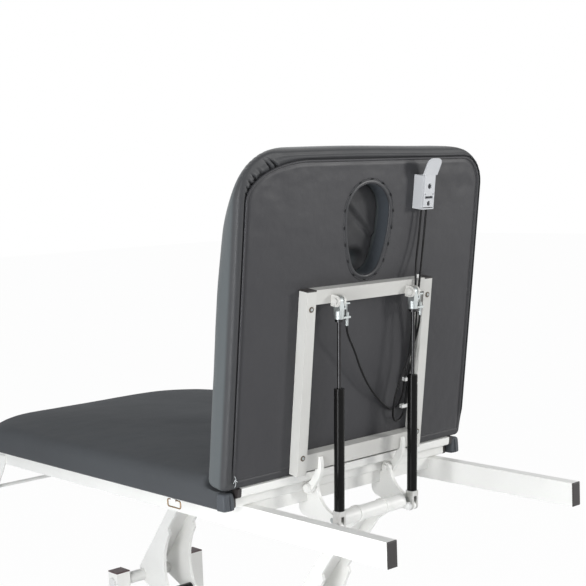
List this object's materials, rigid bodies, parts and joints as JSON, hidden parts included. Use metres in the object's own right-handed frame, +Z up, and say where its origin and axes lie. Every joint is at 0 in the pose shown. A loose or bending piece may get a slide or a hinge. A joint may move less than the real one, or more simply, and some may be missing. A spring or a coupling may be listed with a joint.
{
  "type": "treatment couch",
  "caption": "Height-adjustable treatment couch with a flat padded seat, an upright padded backrest with a face hole, gas springs and a tubular lifting base.",
  "frame": {"origin": "on the floor under the middle of the couch", "axes": "+X towards the head end, +Y towards the far side as pictured, +Z up"},
  "size_m": [1.44, 0.722, 1.3966],
  "materials": {
    "frame_paint": "satin white powder coat",
    "vinyl": "soft charcoal upholstery with a fine grain",
    "dark_plastic": "moulded, matte",
    "black_paint": "gloss black paint",
    "rubber": "matte",
    "bright_steel": "zinc plated",
    "chrome": "polished rod",
    "cable_sheath": "smooth black sheath",
    "ring_wire": "dull bronze wire"
  },
  "bodies": {
    "base": {"side_tube_left": "frame_paint", "side_tube_right": "frame_paint", "base_beam_head": "frame_paint", "base_beam_foot": "frame_paint", "post_head_left": "frame_paint", "post_head_right": "frame_paint", "post_foot_left": "frame_paint", "post_foot_right": "frame_paint", "base_axle_head": "bright_steel", "base_axle_foot": "bright_steel", "foot_pad_head_left": "rubber", "foot_pad_head_right": "rubber", "foot_pad_foot_left": "rubber", "foot_pad_foot_right": "rubber"},
    "head_arm": {"lift_arm_head": "frame_paint"},
    "foot_arm": {"lift_arm_foot": "frame_paint"},
    "upper_frame": {"rail_left": "frame_paint", "rail_right": "frame_paint", "rail_cap_left": "dark_plastic", "rail_cap_right": "dark_plastic", "cross_tube_hinge": "frame_paint", "cross_tube_lift": "frame_paint", "cross_tube_foot": "frame_paint", "hinge_plate_left": "frame_paint", "hinge_plate_right": "frame_paint", "top_axle_head": "bright_steel", "top_axle_foot": "bright_steel", "seat_cushion": "vinyl", "seat_end_bar": "frame_paint", "ring_clip": "frame_paint"},
    "backrest": {"back_upright_left": "frame_paint", "back_upright_right": "frame_paint", "back_crossbar_upper": "frame_paint", "back_crossbar_lower": "frame_paint", "hinge_arm_left": "frame_paint", "hinge_arm_right": "frame_paint", "clevis_left": "frame_paint", "clevis_right": "frame_paint", "back_cushion": "vinyl", "back_end_bar": "frame_paint", "lever_bracket": "frame_paint", "cable_left": "cable_sheath", "cable_right": "cable_sheath"},
    "ram_cylinder": {"ram_cylinder": "black_paint"},
    "ram_rod": {"ram_rod": "chrome"},
    "pedal": {"pedal": "frame_paint"},
    "release_lever": {"release_lever": "frame_paint"},
    "face_plug": {"face_plug": "vinyl"},
    "wire_ring": {"wire_ring": "ring_wire"},
    "paper_rod": {"paper_rod": "frame_paint"},
    "strut_left": {"strut_fork_left": "bright_steel", "strut_cylinder_left": "black_paint"},
    "strut_head_left": {"strut_rod_left": "chrome", "release_head_left": "bright_steel"},
    "head_lever_left": {"head_lever_left": "bright_steel"},
    "strut_right": {"strut_fork_right": "bright_steel", "strut_cylinder_right": "black_paint"},
    "strut_head_right": {"strut_rod_right": "chrome", "release_head_right": "bright_steel"},
    "head_lever_right": {"head_lever_right": "bright_steel"}
  },
  "joints": [
    {"name": "lift", "type": "hinge", "parent": "base", "child": "head_arm", "pos_m": [0.1578, 0, 0.31973], "axis": [0, -1, 0], "range_deg": [-47, 28]},
    {"name": "foot_arm_swing", "type": "hinge", "parent": "base", "child": "foot_arm", "pos_m": [-0.4052, 0, 0.31973], "axis": [0, -1, 0], "range_deg": [-47, 28]},
    {"name": "upper_frame_level", "type": "hinge", "parent": "head_arm", "child": "upper_frame", "pos_m": [0.39, 0, 0.618], "axis": [0, -1, 0], "range_deg": [-28, 47]},
    {"name": "ram_swing", "type": "hinge", "parent": "base", "child": "ram_cylinder", "pos_m": [-0.516, 0, 0.084], "axis": [0, -1, 0], "range_deg": [-5.27, 3.18]},
    {"name": "ram_stroke", "type": "slide", "parent": "ram_cylinder", "child": "ram_rod", "axis": [0.7191, 0, 0.6949], "range_m": [-0.07731, 0.04614]},
    {"name": "backrest_recline", "type": "hinge", "parent": "upper_frame", "child": "backrest", "pos_m": [0.3345, 0, 0.682], "axis": [0, 1, 0], "range_deg": [0, 82.4]},
    {"name": "strut_left_swing", "type": "hinge", "parent": "upper_frame", "child": "strut_left", "pos_m": [0.407, -0.112, 0.608], "axis": [0, 1, 0], "range_deg": [-0.1, 81.76]},
    {"name": "strut_left_stroke", "type": "slide", "parent": "strut_left", "child": "strut_head_left", "axis": [0.0446, 0, 0.999], "range_m": [-0.13658, 0.0002]},
    {"name": "head_lever_left_press", "type": "hinge", "parent": "strut_head_left", "child": "head_lever_left", "pos_m": [0.42737, -0.1032, 1.06464], "axis": [-0.999, 0, 0.0446], "range_deg": [0, 3]},
    {"name": "strut_right_swing", "type": "hinge", "parent": "upper_frame", "child": "strut_right", "pos_m": [0.407, 0.112, 0.608], "axis": [0, 1, 0], "range_deg": [-0.1, 81.76]},
    {"name": "strut_right_stroke", "type": "slide", "parent": "strut_right", "child": "strut_head_right", "axis": [0.0446, 0, 0.999], "range_m": [-0.13658, 0.0002]},
    {"name": "head_lever_right_press", "type": "hinge", "parent": "strut_head_right", "child": "head_lever_right", "pos_m": [0.42737, 0.1208, 1.06464], "axis": [-0.999, 0, 0.0446], "range_deg": [0, 3]},
    {"name": "release_lever_pull", "type": "hinge", "parent": "backrest", "child": "release_lever", "pos_m": [0.436, 0.153, 1.31413], "axis": [0, 1, 0], "range_deg": [0, 15], "stiffness_Nm_per_rad": 2},
    {"name": "face_plug_slide", "type": "slide", "parent": "backrest", "child": "face_plug", "axis": [-0.9912, 0, 0.1323], "range_m": [0, 0.06]},
    {"name": "wire_ring_swing", "type": "hinge", "parent": "upper_frame", "child": "wire_ring", "pos_m": [0.156, -0.349, 0.6705], "axis": [1, 0, 0], "range_deg": [-60, 60]},
    {"name": "paper_rod_spin", "type": "hinge", "parent": "upper_frame", "child": "paper_rod", "pos_m": [-0.708, 0, 0.551], "axis": [0, 1, 0], "continuous": true},
    {"name": "pedal_press", "type": "hinge", "parent": "base", "child": "pedal", "pos_m": [-0.34, -0.1414, 0.048], "axis": [0, 1, 0], "range_deg": [0, 12], "stiffness_Nm_per_rad": 20}
  ],
  "couplings": [
    {"joint": "foot_arm_swing", "follows": "lift", "ratio": 1},
    {"joint": "upper_frame_level", "follows": "lift", "ratio": -1},
    {"joint": "ram_swing", "follows": "lift", "ratio": 0.11},
    {"joint": "ram_stroke", "follows": "lift", "m_per_rad": 0.094},
    {"joint": "strut_left_swing", "follows": "backrest_recline", "ratio": 0.991},
    {"joint": "strut_left_stroke", "follows": "backrest_recline", "m_per_rad": -0.094829},
    {"joint": "head_lever_left_press", "follows": "release_lever_pull", "ratio": 0.2},
    {"joint": "strut_right_swing", "follows": "backrest_recline", "ratio": 0.991},
    {"joint": "strut_right_stroke", "follows": "backrest_recline", "m_per_rad": -0.094829},
    {"joint": "head_lever_right_press", "follows": "release_lever_pull", "ratio": 0.2}
  ]
}
